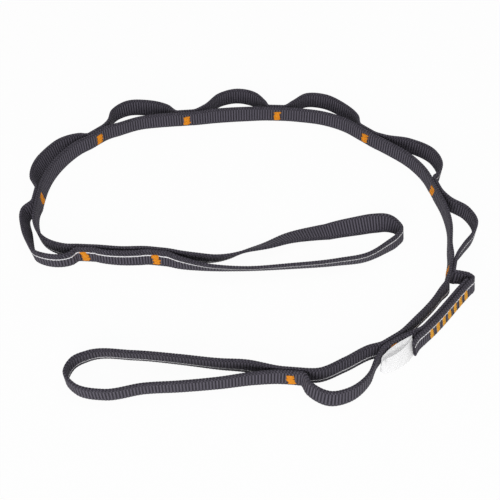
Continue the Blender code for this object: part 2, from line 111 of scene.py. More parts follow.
LOOP_SHARES = (
    ((0.202, 0.028, -8), (0.525, 0.042, -6), (0.914, 0.027, -4)),
    (
        (-0.051, 0.142, 0), (0.150, 0.349, 2), (0.290, 0.397, 5), (0.440, 0.378, 11), (0.712, 0.311, 22),
        (0.975, 0.211, 14),
    ),
    ((0.090, 0.173, 12), (0.315, 0.266, 19), (0.539, 0.278, 17), (0.752, 0.249, 10), (0.941, 0.133, 2)),
    ((0.088, 0.112, -2), (0.183, 0.258, -2), (0.397, 0.333, 8), (0.659, 0.278, 12), (0.897, 0.154, 4)),
    ((0.160, 0.084, 0), (0.374, 0.256, 1), (0.611, 0.303, 6), (0.825, 0.236, 7), (0.955, 0.100, 0)),
    ((0.078, 0.143, 0), (0.196, 0.297, 3), (0.421, 0.350, 6), (0.693, 0.292, 5), (0.930, 0.168, 0)),
    ((0.137, 0.082, 0), (0.397, 0.243, 4), (0.729, 0.316, 6), (0.918, 0.246, 3), (1.008, 0.120, 0)),
    ((0.138, 0.105, 0), (0.303, 0.266, 0), (0.492, 0.322, 0), (0.657, 0.265, 0), (0.810, 0.157, 0)),
    (),
    ((0.152, 0.118, -3), (0.322, 0.252, -4), (0.586, 0.336, -8), (0.820, 0.315, -8), (0.982, 0.166, -6)),
)
BEND_SHARES = ((-0.042, 0.105, 0), (-0.078, 0.183, -5), (-0.068, 0.237, -10), (-0.037, 0.245, -13))
SEWN_SHARES = (
    (-0.002, 0.223, -13), (0.158, 0.211, -13), (0.409, 0.200, -13), (0.637, 0.185, -13),
    (0.797, 0.164, -13),
)
OUTER_END_SHARES = ((0.911, 0.167, -14), (0.991, 0.175, -14))
INNER_WAY_SHARES = ((0.877, 0.107, -11), (0.957, 0.064, -9))

# The end loops, from their bar tack: (share of the pitch along X, share along Y, tilt). The first is half
# twisted
FIRST_LOOP_SHARES = (
    (0.23, -0.005, 4), (0.40, -0.020, 12), (0.585, -0.023, 21), (0.703, 0.006, 28), (0.838, 0.067, 37),
    (1.069, 0.157, 52), (1.284, 0.262, 67), (1.542, 0.338, 82), (1.757, 0.387, 97), (1.95, 0.415, 112),
    (2.130, 0.432, 132), (2.250, 0.418, 155), (2.334, 0.364, 176), (2.384, 0.292, 188), (2.332, 0.206, 185),
    (2.213, 0.110, 178), (2.018, -0.009, 167), (1.735, -0.066, 160), (1.282, -0.114, 154),
    (0.791, -0.143, 151), (0.456, -0.124, 162), (0.21, -0.070, 181),
)
SECOND_LOOP_SHARES = (
    (-0.396, 0.100, 0), (-0.613, 0.117, -4), (-0.961, 0.163, -7), (-1.374, 0.206, -9), (-1.780, 0.200, -7),
    (-1.904, 0.128, -3), (-1.950, -0.008, 0), (-1.855, -0.124, 2), (-1.607, -0.184, 4), (-1.262, -0.124, 4),
    (-0.955, -0.104, 3), (-0.611, -0.069, 1), (-0.30, -0.023, -3),
)
HALF_TWIST = 180.0

# The label, from the tack that it covers: (share of the pitch along the chain, share to the outside, tilt)
LABEL_SHARES = (
    (-0.168, 0.060, 11), (-0.10, 0.053, 9), (0.03, 0.054, 8), (0.13, 0.071, 8), (0.205, 0.100, 5),
    (0.219, 0.113, 0), (0.205, 0.125, -14), (0.13, 0.143, -30), (0.03, 0.149, -35), (-0.10, 0.122, -28),
    (-0.165, 0.086, -16),
)

# Sizes of the tape and of the sewing pattern, in metres
TAPE_WIDTH = 0.018
TAPE_THICKNESS = 0.0028
EDGE_CHAMFER = 0.0008
SEWN_GAP = 0.0003
LAYER_PITCH = TAPE_THICKNESS + SEWN_GAP
TACK_LENGTH = 0.008
TACK_HEIGHT = 0.0120
TACK_DROP = 0.0017
FLEX_REACH = 0.0025
FLEX_SETBACK = TACK_LENGTH / 2 + FLEX_REACH
STRAIGHT_REACH = 0.001
SPLICED_POCKET = 8
LABEL_TACK = 9

# How finely a tape is stepped, as in the part's source, and how finely its smooth line is sampled
STEP_LENGTH = 0.014
STEP_TURN = 17.0
STEP_TILT = 17.0
DENSE_SAMPLES = 16

WHITE: Colour = (1.0, 1.0, 1.0, 1.0)


class Side(Enum):
    """The side of the chain that a strand runs on."""

    STRAIGHT = -1
    LOOP = 1


class Way(Enum):
    """Whether a stretch of tape is followed along the chain or back."""

    ALONG = 1
    BACK = -1


# Shader maths


class Value:
    """A value in a shader, which adds its Math nodes by Python's operators."""

    def __init__(self, nodes: Nodes, socket: bpy.types.NodeSocket) -> None:
        """Wraps a socket.

        Args:
            nodes: The nodes that the socket is among.
            socket: The output socket.
        """
        self.nodes = nodes
        self.socket = socket

    def maths(self, operation: str, *others: Value | float) -> Value:
        """A Math node on this value.

        Args:
            operation: The node's operation.
            others: The node's other inputs.

        Returns:
            The node's value.
        """
        return self.nodes.maths(operation, self, *others)

    def __add__(self, other: Value | float) -> Value:
        """This value plus another."""
        return self.maths("ADD", other)

    __radd__ = __add__

    def __mul__(self, other: Value | float) -> Value:
        """This value times another."""
        return self.maths("MULTIPLY", other)

    __rmul__ = __mul__

    def __sub__(self, other: Value | float) -> Value:
        """This value less another."""
        return self.maths("SUBTRACT", other)

    def __rsub__(self, other: float) -> Value:
        """A number less this value."""
        return self.nodes.maths("SUBTRACT", other, self)

    def __truediv__(self, other: Value | float) -> Value:
        """This value over another."""
        return self.maths("DIVIDE", other)

    def __abs__(self) -> Value:
        """This value without its sign."""
        return self.maths("ABSOLUTE")

    def wave(self) -> Value:
        """A cosine wave of this value's whole numbers, from 0 between them to 1 on them."""
        return (self * math.tau).maths("COSINE") * 0.5 + 0.5

    def fraction(self) -> Value:
        """This value's part past the whole number."""
        return self.maths("FRACT")

    def step(self, low: float, high: float) -> Value:
        """A soft step.

        Args:
            low: Where it is still 0.
            high: Where it is 1.

        Returns:
            The step's value.
        """
        settings = {"interpolation_type": "SMOOTHSTEP"}
        sockets = {"Value": self, "From Min": low, "From Max": high}
        return self.nodes.output("ShaderNodeMapRange", settings, sockets, "Result")

    def band(self, middle: float, half: float, soft: float) -> Value:
        """A soft band round a number.

        Args:
            middle: The number.
            half: Half the band's width.
            soft: The width over which it fades.

        Returns:
            The band's value, 1 inside it.
        """
        return 1 - abs(self - middle).step(half - soft / 2, half + soft / 2)


class Nodes:
    """The nodes of one tree: a material's, or the world's."""

    def __init__(self, tree: bpy.types.NodeTree) -> None:
        """Wraps a tree."""
        self.tree = tree

    def node(self, kind: str, settings: dict[str, object],
             sockets: dict[str | int, object]) -> bpy.types.Node:
        """Adds a node.

        Args:
            kind: The node's type.
            settings: The node's settings.
            sockets: The values or links of its input sockets.

        Returns:
            The node.
        """
        node = self.tree.nodes.new(kind)
        for key, value in settings.items():
            setattr(node, key, value)
        for key, value in sockets.items():
            self.feed(node.inputs[key], value)
        return node

    def feed(self, socket: bpy.types.NodeSocket, value: object) -> None:
        """Sets or links an input socket.

        Args:
            socket: The socket.
            value: A number, a colour or a Value.
        """
        if isinstance(value, Value):
            self.tree.links.new(value.socket, socket)
        else:
            socket.default_value = value

    def output(self, kind: str, settings: dict[str, object], sockets: dict[str | int, object],
               name: str) -> Value:
        """Adds a node and gives one of its outputs.

        Args:
            kind: The node's type.
            settings: The node's settings.
            sockets: The values or links of its input sockets.
            name: The output's name.

        Returns:
            The output's value.
        """
        return Value(self, self.node(kind, settings, sockets).outputs[name])

    def maths(self, operation: str, *values: Value | float) -> Value:
        """A Math node.

        Args:
            operation: Its operation.
            values: Its inputs.

        Returns:
            Its value.
        """
        return self.output("ShaderNodeMath", {"operation": operation}, dict(enumerate(values)), "Value")

    def seen(self) -> Value:
        """Tells what is seen from what only gives light.

        Returns:
            1 for what is seen straight, in gloss or through glass, and 0 for the rest.
        """
        path = self.node("ShaderNodeLightPath", {}, {})
        rays = [Value(self, path.outputs[f"Is {kind} Ray"]) for kind in ("Camera", "Glossy", "Transmission")]
        return rays[0].maths("MAXIMUM", rays[1]).maths("MAXIMUM", rays[2])

    def end_in(self, end: str, share: Value, first: bpy.types.Node, second: bpy.types.Node) -> None:
        """Ends the tree in a mix of two shaders.

        Args:
            end: The name of its last node.
            share: The share of the second shader.
            first: The first shader.
            second: The second shader.
        """
        shaders = {"Fac": share, 1: Value(self, first.outputs[0]), 2: Value(self, second.outputs[0])}
        mixed = self.output("ShaderNodeMixShader", {}, shaders, "Shader")
        self.feed(self.tree.nodes[end].inputs["Surface"], mixed)


class Graph(Nodes):
    """The node graph of one material."""

    def __init__(self, name: str) -> None:
        """Starts a material with its shader.

        Args:
            name: The material's name.
        """
        self.material = bpy.data.materials.new(name)
        self.material.use_nodes = True
        super().__init__(self.material.node_tree)
        self.shader = self.tree.nodes["Principled BSDF"]

    def place(self) -> Value:
        """The place on the object, in metres."""
        return self.output("ShaderNodeTexCoord", {}, {}, "Object")

    def along_and_round(self) -> tuple[Value, Value]:
        """Reads the piece's own map.

        Returns:
            Its coordinate along the piece, and its coordinate round or across it.
        """
        spot = self.output("ShaderNodeUVMap", {"uv_map": "UVMap"}, {}, "UV")
        parts = self.node("ShaderNodeSeparateXYZ", {}, {"Vector": spot})
        return Value(self, parts.outputs["X"]), Value(self, parts.outputs["Y"])

    def attribute(self, name: str) -> Value:
        """A number that the piece's mesh holds."""
        return self.output("ShaderNodeAttribute", {"attribute_name": name}, {}, "Fac")

    def noise(self, scale: float, detail: float = 2.0) -> Value:
        """A noise on the object's own place.

        Args:
            scale: How fine it is.
            detail: Its octaves.

        Returns:
            Its value.
        """
        sockets = {"Vector": self.place(), "Scale": scale, "Detail": detail}
        return self.output("ShaderNodeTexNoise", {}, sockets, "Fac")

    def blend(self, share: Value | float, first: object, second: object) -> Value:
        """A mix of two colours.

        Args:
            share: The share of the second colour.
            first: The first colour.
            second: The second colour.

        Returns:
            The mixed colour.
        """
        node = self.node("ShaderNodeMix", {"data_type": "RGBA"}, {"Factor": share})
        self.feed(node.inputs[6], first)
        self.feed(node.inputs[7], second)
        return Value(self, node.outputs[2])

    def relief(self, height: Value, depth: float, strength: float = 1.0) -> None:
        """Raises the surface by a height.

        Args:
            height: The height, from 0 to 1.
            depth: How far 1 stands out, in metres.
            strength: The bump's strength.
        """
        sockets = {"Height": height, "Distance": depth, "Strength": strength}
        self.feed(self.shader.inputs["Normal"], self.output("ShaderNodeBump", {}, sockets, "Normal"))

    def surface(self, **sockets: object) -> None:
        """Sets or links sockets of the shader, named with underscores."""
        for key, value in sockets.items():
            self.feed(self.shader.inputs[key.replace("_", " ").title().replace("Ior", "IOR")], value)


# Finishes


@dataclass(frozen=True)
class WebbingFinish:
    """Grey nylon webbing: ribs across both faces, slanted picks over both edges, and one white tracer."""

    # The ground is the tape's own grey. The crest is a painted light of it and the groove a painted shade of
    # it
    ground: Colour = (0.066, 0.060, 0.078, 1.0)
    lit_crest: Colour = (0.128, 0.117, 0.148, 1.0)
    shaded_groove: Colour = (0.015, 0.013, 0.019, 1.0)
    tracer: Colour = (0.93, 0.92, 0.94, 1.0)
    tracer_half: float = 0.66
    selvage: float = 3.1
    yarn_width: float = 0.62
    pick_slant: float = 0.16
    weave_depth: float = 0.00022

    def build(self) -> bpy.types.Material:
        """Builds the material, for a map that gives ribs along the tape and millimetres round it.

        Returns:
            The material.
        """
        graph = Graph("grey nylon webbing")
        along, across = graph.along_and_round()
        round_tape = 2 * (TAPE_WIDTH + TAPE_THICKNESS) * 1000
        edge_gap = (across / (round_tape / 2) + 0.5).fraction() - 0.5
        from_edge = abs(edge_gap) * (round_tape / 2)
        from_tracer = across - graph.attribute("tracer_place")
        face = from_edge.step(self.selvage, self.selvage + 1.0) * from_tracer.step(-0.4, 0.2)
        wear = graph.noise(140.0, 3.0)
        flecks = graph.noise(900.0, 1.0).step(0.40, 0.64)
        rib = along.wave()
        yarns = (across / self.yarn_width).wave()
        picks = (along + from_edge * self.pick_slant + from_edge.step(1.5, 1.8) * 0.5).wave()
        # The heights of the ribs, yarns and picks also set the colour: painted light on their crests and
        # painted shade in their lows. The flecks over the edges are random tone
        face_height = (1 - rib) * 0.8 + yarns * 0.2
        edge_height = picks * 0.8 + yarns * 0.2
        height = face_height * face + edge_height * (1 - face) + wear * 0.25
        pick_shade_and_flecks = edge_height.step(0.10, 1.10) * (flecks * 0.75 + 0.40)
        shade = face_height.step(0.10, 0.95) * face + pick_shade_and_flecks * (1 - face)
        tone = graph.blend(shade, self.shaded_groove, self.lit_crest)
        colour = graph.blend(wear.step(0.35, 0.75) * 0.30, tone, self.ground)
        dash = (along * 0.5 + wear * 0.35).wave().step(0.02, 0.30)
        line = from_tracer.band(0.0, self.tracer_half, 0.35) * (dash * 0.22 + 0.78)
        colour = graph.blend(line, colour, self.tracer)
        graph.surface(base_color=colour, roughness=(1 - line) * 0.22 + 0.60, specular_ior_level=0.22,
                      sheen_weight=0.04, sheen_roughness=0.45)
        graph.relief(height + line * 0.5, self.weave_depth)
        return graph.material


@dataclass(frozen=True)
class ThreadFinish:
    """Twisted polyester sewing thread, with painted shade in the grooves between its plies."""

    name: str
    bright: Colour
    deep: Colour

    def build(self) -> bpy.types.Material:
        """Builds the material, for a map that gives millimetres along each stitch and turns round it.

        Returns:
            The material.
        """
        graph = Graph(self.name)
        along, across = graph.along_and_round()
        ply = (along * 1.6 + across).wave()
        wear = graph.noise(420.0, 2.0)
        # The twist of the plies sets the colour: painted shade in the grooves between them, with random tone
        # from the noise
        colour = graph.blend(ply * 0.65 + wear * 0.35, self.deep, self.bright)
        graph.surface(base_color=colour, roughness=0.62 - ply * 0.16, specular_ior_level=0.25,
                      sheen_weight=0.03)
        graph.relief(ply, 0.00008)
        return graph.material


@dataclass(frozen=True)
class LabelFinish:
    """White woven label tape, with a painted glow: a little light of its own, though it is no lamp."""

    bright: Colour = (0.93, 0.93, 0.93, 1.0)
    deep: Colour = (0.88, 0.88, 0.89, 1.0)
    painted_glow: float = 0.09
    hem: tuple[float, float] = (5.7, 6.2)

    def build(self) -> bpy.types.Material:
        """Builds the material, for a map that gives millimetres along the label and across it.

        Returns:
            The material.
        """
        graph = Graph("white label tape")
        along, across = graph.along_and_round()
        weave = (along / 0.32).wave() * 0.5 + (across / 0.28).wave() * 0.5
        wear = graph.noise(28.0, 1.0)
        hem = abs(across).step(*self.hem)
        colour = graph.blend(weave * 0.2 + wear * 0.8, self.deep, self.bright)
        colour = graph.blend(hem * 0.35, colour, self.deep)
        # The emission is a painted glow, which lightens the label though it is no lamp
        graph.surface(base_color=colour, roughness=wear * 0.15 + 0.48, emission_color=WHITE,
                      emission_strength=self.painted_glow)
        graph.relief(weave, 0.00002, 0.06)
        return graph.material


@dataclass(frozen=True)
class FloorFinish:
    """A white studio floor, which keeps a faint shadow."""

    colour: Colour = (0.82, 0.82, 0.82, 1.0)
    glow: float = 0.96

    def build(self) -> bpy.types.Material:
        """Builds the material, which shows white to the camera and in gloss.

        Returns:
            The material.
        """
        graph = Graph("studio floor")
        graph.surface(base_color=self.colour, roughness=0.9)
        white = graph.node("ShaderNodeEmission", {}, {"Color": WHITE, "Strength": 1.0})
        graph.end_in("Material Output", graph.seen() * self.glow, graph.shader, white)
        return graph.material


# The lay of the chain


def direction(angle: float) -> Vector:
    """The unit vector of the plan that points this way, in degrees from +X."""
    return Vector((math.cos(math.radians(angle)), math.sin(math.radians(angle))))


def left_of(vector: Vector) -> Vector:
    """The plan vector turned a quarter turn to the left."""
    return Vector((-vector.y, vector.x))


def smooth(stations: list[Station]) -> list[Vector]:
    """A dense smooth line through stations, whose slope at each is the mean of the slopes on either side.

    Args:
        stations: The stations.

    Returns:
        The dense line.
    """
    points = [Vector(station) for station in stations]
    spans = [(b.xy - a.xy).length for a, b in zip(points, points[1:])]
    slopes = [(b - a) / span for a, b, span in zip(points, points[1:], spans)]
    means = [slopes[0]]
    for i in range(1, len(spans)):
        means.append(slopes[i - 1].lerp(slopes[i], spans[i - 1] / (spans[i - 1] + spans[i])))
    means.append(slopes[-1])
    line = [points[0]]
    for a, b, p, q, span in zip(points, points[1:], means, means[1:], spans):
        line += interpolate_bezier(a, a + p * span / 3, b - q * span / 3, b, DENSE_SAMPLES + 1)[1:]
    return line


def stepped(line: list[Vector]) -> list[Vector]:
    """The points of a dense line that a tape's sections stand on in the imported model.

    Args:
        line: The dense line.

    Returns:
        The points, closer together where the line turns or tilts.
    """
    costs = [0.0]
    for i in range(1, len(line)):
        step = line[i].xy - line[i - 1].xy
        turn = math.degrees(step.angle(line[i - 1].xy - line[i - 2].xy)) if i > 1 else 0
        tilt = abs(line[i].z - line[i - 1].z)
        costs.append(costs[-1] + step.length / STEP_LENGTH + turn / STEP_TURN + tilt / STEP_TILT)
    count = math.ceil(costs[-1])
    wanted = [costs[-1] * i / count for i in range(count + 1)]
    return [line[min(range(len(line)), key=lambda j: abs(costs[j] - cost))] for cost in wanted]


def beside(line: list[Vector], side: Side) -> list[Vector]:
    """The line half a layer to one side of a line between two sewn layers.

    Args:
        line: The line between the layers.
        side: The side to move to.

    Returns:
        The moved line.
    """
    moved = []
    for i, point in enumerate(line):
        along = line[min(i + 1, len(line) - 1)].xy - line[max(i - 1, 0)].xy
        offset = side.value * LAYER_PITCH / 2 / math.cos(math.radians(point.z))
        moved.append(Vector((*(point.xy + left_of(along.normalized()) * offset), point.z)))
    return moved


def middle_height(tilt: float, half_width: float, half_depth: float, chamfer: float) -> float:
    """The height of a tape's middle over the surface when its lowest point lies on it.

    Args:
        tilt: The tape's tilt, in degrees.
        half_width: Half the tape's width.
        half_depth: Half its thickness.
        chamfer: The chamfer along its edges.

    Returns:
        The height.
    """
    sine = abs(math.sin(math.radians(tilt)))
    cosine = abs(math.cos(math.radians(tilt)))
    corners = ((half_depth, half_width - chamfer), (half_depth - chamfer, half_width))
    return max(cosine * y + sine * x for x, y in corners)


def tape_height(tilt: float) -> float:
    """The height of the webbing's middle at a tilt."""
    return middle_height(tilt, TAPE_WIDTH / 2, TAPE_THICKNESS / 2, EDGE_CHAMFER)


@dataclass(frozen=True)
class Stretch:
    """A stretch of the tape that rides on one link."""

    node: str
    link: str
    line: tuple[Vector, ...]


class Lay:
    """The places of the tacks and flexes, and the tape's lines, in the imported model's frame."""

    def __init__(self) -> None:
        """Works out the places of the tacks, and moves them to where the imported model's first flex is."""
        self.tacks = [Vector((0.0, 0.0))]
        for share, angle in zip(CHORD_SHARES, CHORD_ANGLES):
            self.tacks.append(self.tacks[-1] + direction(angle) * POCKET_PITCH * share)
        joint = next(joint for joint in frame["joints"] if joint["name"] == "flex_1")
        shift = Vector(joint["pos_m"][:2]) - self.flex(0)
        self.tacks = [place + shift for place in self.tacks]

    def flex(self, tack: int) -> Vector:
        """The place in the plan of the flex axis beside a bar tack."""
        return self.tacks[tack] + direction(TACK_HEADINGS[tack]) * FLEX_SIDES[tack] * FLEX_SETBACK

    def link(self, number: int) -> str:
        """The name of a link: 0 is the first end loop, 1 to 10 are the pockets, 11 is the last end loop."""
        return f"pocket_{number}_link" if 0 < number < 11 else f"end_loop_{number // 11 + 1}_link"

    def link_of_tack(self, tack: int) -> str:
        """The name of the link that a bar tack belongs to."""
        return self.link(tack + 1 if FLEX_SIDES[tack] < 0 else tack)

    def seam(self, tack: int, side: Side, reaches: list[float], way: Way = Way.ALONG) -> list[Station]:
        """Stations of a strand near its bar tack.

        Args:
            tack: The tack.
            side: The side of the chain.
            reaches: How far along the chain each station is from the tack.
            way: The way that the tape is followed.

        Returns:
            The stations.
        """
        heading = direction(TACK_HEADINGS[tack])
        lean = TACK_LEANS[tack]
        offset = left_of(heading) * side.value * LAYER_PITCH / 2 / math.cos(math.radians(lean))
        return [(*(self.tacks[tack] + heading * reach + offset), -way.value * lean) for reach in reaches]

    def seam_lead(self, tack: int) -> float:
        """How far past its first tack a strand runs straight."""
        return max(FLEX_SIDES[tack] * FLEX_SETBACK, TACK_LENGTH / 2) + 2 * STRAIGHT_REACH

    def seam_tail(self, tack: int) -> float:
        """How far before its last tack a strand runs straight."""
        return max(-FLEX_SIDES[tack] * FLEX_SETBACK, TACK_LENGTH / 2) + 2 * STRAIGHT_REACH

    def seam_start(self, tack: int, side: Side) -> list[Station]:
        """The stations of a strand from the flex axis at its first tack to where it leaves the seam."""
        end = self.seam_lead(tack)
        return self.seam(tack, side, [FLEX_SIDES[tack] * FLEX_SETBACK, end - STRAIGHT_REACH, end])

    def seam_end(self, tack: int, side: Side) -> list[Station]:
        """The stations of a strand from where it joins the seam to the flex axis at its last tack."""
        begin = -self.seam_tail(tack)
        return self.seam(tack, side, [begin, begin + STRAIGHT_REACH, FLEX_SIDES[tack] * FLEX_SETBACK])

    def pocket(self, pocket: int, shares: tuple[Station, ...]) -> list[Station]:
        """Stations of a strand between the seams of its pocket.

        Args:
            pocket: The pocket, from 0.
            shares: Shares along its free length and to the outside, with the lean outwards in degrees.

        Returns:
            The stations.
        """
        start = self.tacks[pocket]
        chord = self.tacks[pocket + 1] - start
        along = chord.normalized()
        lead = self.seam_lead(pocket)
        free = chord.length - lead - self.seam_tail(pocket + 1)
        outward = left_of(along) * POCKET_PITCH
        return [(*(start + along * (lead + free * u) + outward * v), -lean) for u, v, lean in shares]

    def strand(self, pocket: int, side: Side, shares: tuple[Station, ...]) -> list[Vector]:
        """The line of one strand, from flex axis to flex axis."""
        start = self.seam_start(pocket, side)
        return smooth(start + self.pocket(pocket, shares) + self.seam_end(pocket + 1, side))

    def loop(self, tack: int, shares: tuple[Station, ...]) -> list[Station]:
        """Stations of an end loop from its table of shares, measured from its bar tack along X and Y."""
        start = self.tacks[tack]
        return [(start.x + x * POCKET_PITCH, start.y + y * POCKET_PITCH, tilt) for x, y, tilt in shares]

    def first_loop(self) -> list[Vector]:
        """The loop before the first tack, half twisted.

        Returns:
            Its line, from the straight strand to the loop strand.
        """
        reaches = [-FLEX_SETBACK - step * STRAIGHT_REACH for step in range(3)]
        out = self.seam(0, Side.STRAIGHT, reaches, Way.BACK)
        back = [(x, y, tilt + HALF_TWIST) for x, y, tilt in self.seam(0, Side.LOOP, reaches[::-1])]
        return smooth(out + self.loop(0, FIRST_LOOP_SHARES) + back)

    def second_loop(self) -> list[Vector]:
        """The loop past the last tack.

        Returns:
            Its line, from the straight strand to the loop strand.
        """
        last = len(self.tacks) - 1
        end = TACK_LENGTH / 2 + STRAIGHT_REACH
        reaches = [-FLEX_SETBACK, end, end + STRAIGHT_REACH]
        out = self.seam(last, Side.STRAIGHT, reaches)
        back = self.seam(last, Side.LOOP, reaches[::-1], Way.BACK)
        return smooth(out + self.loop(last, SECOND_LOOP_SHARES) + back)

    def sewn(self) -> list[Vector]:
        """The sewn line between both layers of the splice."""
        return stepped(smooth(self.pocket(SPLICED_POCKET, SEWN_SHARES)))

    def splice_layers(self) -> tuple[list[Vector], list[Vector]]:
        """Both layers of the splice, half a layer to either side of its sewn line.

        Returns:
            The lines of the inner and the outer layer.
        """
        inner = [*beside(self.sewn(), Side.STRAIGHT), *self.pocket(SPLICED_POCKET, INNER_WAY_SHARES),
                 *self.seam_end(SPLICED_POCKET + 1, Side.LOOP)]
        outer = [*self.seam_start(SPLICED_POCKET, Side.LOOP), *self.pocket(SPLICED_POCKET, BEND_SHARES),
                 *beside(self.sewn(), Side.LOOP), *self.pocket(SPLICED_POCKET, OUTER_END_SHARES)]
        return smooth(inner), smooth(outer)

    def stretches(self) -> list[Stretch]:
        """The whole tape in the order in which it runs.

        Returns:
            Its stretches, from its inner cut end to its outer cut end.
        """
        run: list[Stretch] = []

        def follow(node: str, number: int, line: list[Vector], way: Way = Way.ALONG,
                   twist: float = 0.0) -> None:
            """Adds a line in the tape's own way, with the twist that the tape has there."""
            turned = (Vector((p.x, p.y, way.value * p.z + twist)) for p in line[::way.value])
            run.append(Stretch(node, self.link(number), tuple(turned)))

        inner, outer = self.splice_layers()
        follow("splice_inner_layer", 9, inner)
        follow("loop_strand_10", 10, self.strand(9, Side.LOOP, LOOP_SHARES[9]))
        follow("end_loop_2", 11, self.second_loop(), Way.BACK)
        for number in range(10, 0, -1):
            line = self.strand(number - 1, Side.STRAIGHT, STRAIGHT_SHARES[number - 1])
            follow(f"straight_strand_{number}", number, line, Way.BACK)
        follow("end_loop_1", 0, self.first_loop())
        for number in range(1, SPLICED_POCKET + 1):
            line = self.strand(number - 1, Side.LOOP, LOOP_SHARES[number - 1])
            follow(f"loop_strand_{number}", number, line, twist=HALF_TWIST)
        follow("splice_outer_layer", 9, outer, twist=HALF_TWIST)
        return run


# Modelling


def deselect() -> None:
    """Deselects every object, out of edit mode."""
    bpy.ops.object.select_all(action="DESELECT")


def activate(piece: bpy.types.Object) -> None:
    """Makes a piece the only selected one, and the active one.

    Args:
        piece: The piece.
    """
    deselect()
    piece.select_set(True)
    bpy.context.view_layer.objects.active = piece


def added(name: str) -> bpy.types.Object:
    """Names the primitive that was just added, and applies its place.

    Args:
        name: Its name.

    Returns:
        The piece.
    """
    piece = bpy.context.active_object
    piece.name = name
    piece.data.name = name
    bpy.ops.object.transform_apply(location=True, rotation=True, scale=True)
    return piece


def copied(piece: bpy.types.Object, name: str) -> bpy.types.Object:
    """Copies a piece with a mesh of its own.

    Args:
        piece: The piece.
        name: The copy's name.

    Returns:
        The copy.
    """
    twin = piece.copy()
    twin.data = piece.data.copy()
    twin.name = name
    twin.data.name = name
    bpy.context.scene.collection.objects.link(twin)
    return twin


def choose(piece: bpy.types.Object, mode: str, test: Callable[..., bool]) -> None:
    """Selects parts of the piece that is in edit mode.

    Args:
        piece: The piece.
        mode: VERT, EDGE or FACE.
        test: A function that says whether a vertex, an edge or a face is wanted.
    """
    bpy.ops.mesh.select_mode(type=mode)
    bpy.ops.mesh.select_all(action="DESELECT")
    mesh = bmesh.from_edit_mesh(piece.data)
    parts = {"VERT": mesh.verts, "EDGE": mesh.edges, "FACE": mesh.faces}[mode]
    for part in parts:
        part.select = bool(test(part))
    mesh.select_flush_mode()
    bmesh.update_edit_mesh(piece.data)


def cut_across(place: float) -> None:
    """Cuts the piece that is in edit mode across the X axis."""
    bpy.ops.mesh.select_all(action="SELECT")
    bpy.ops.mesh.bisect(plane_co=(place, 0.0, 0.0), plane_no=(1.0, 0.0, 0.0))


def apply_modifier(piece: bpy.types.Object, kind: str, **settings: object) -> None:
    """Adds a modifier to a piece and applies it.

    Args:
        piece: The piece.
        kind: The modifier's type.
        settings: The modifier's settings.
    """
    activate(piece)
    modifier = piece.modifiers.new(kind.lower(), kind)
    for key, value in settings.items():
        setattr(modifier, key, value)
    bpy.ops.object.modifier_apply(modifier=modifier.name)


def guide_curve(name: str, places: list[Place], tilts: list[float]) -> bpy.types.Object:
    """A curve that pieces are bent along.

    Args:
        name: The curve's name.
        places: Its points.
        tilts: Its tilt at each point, in degrees.

    Returns:
        The curve.
    """
    curve = bpy.data.curves.new(name, "CURVE")
    curve.dimensions = "3D"
    curve.twist_mode = "Z_UP"
    spline = curve.splines.new("POLY")
    spline.points.add(len(places) - 1)
    for point, place, tilt in zip(spline.points, places, tilts):
        point.co = (*place, 1.0)
        point.tilt = math.radians(tilt)
    guide = bpy.data.objects.new(name, curve)
    bpy.context.scene.collection.objects.link(guide)
    return guide


def dress(piece: bpy.types.Object, material: bpy.types.Material) -> None:
    """Gives a piece its material.

    Args:
        piece: The piece.
        material: The material.
    """
    piece.data.materials.clear()
    piece.data.materials.append(material)


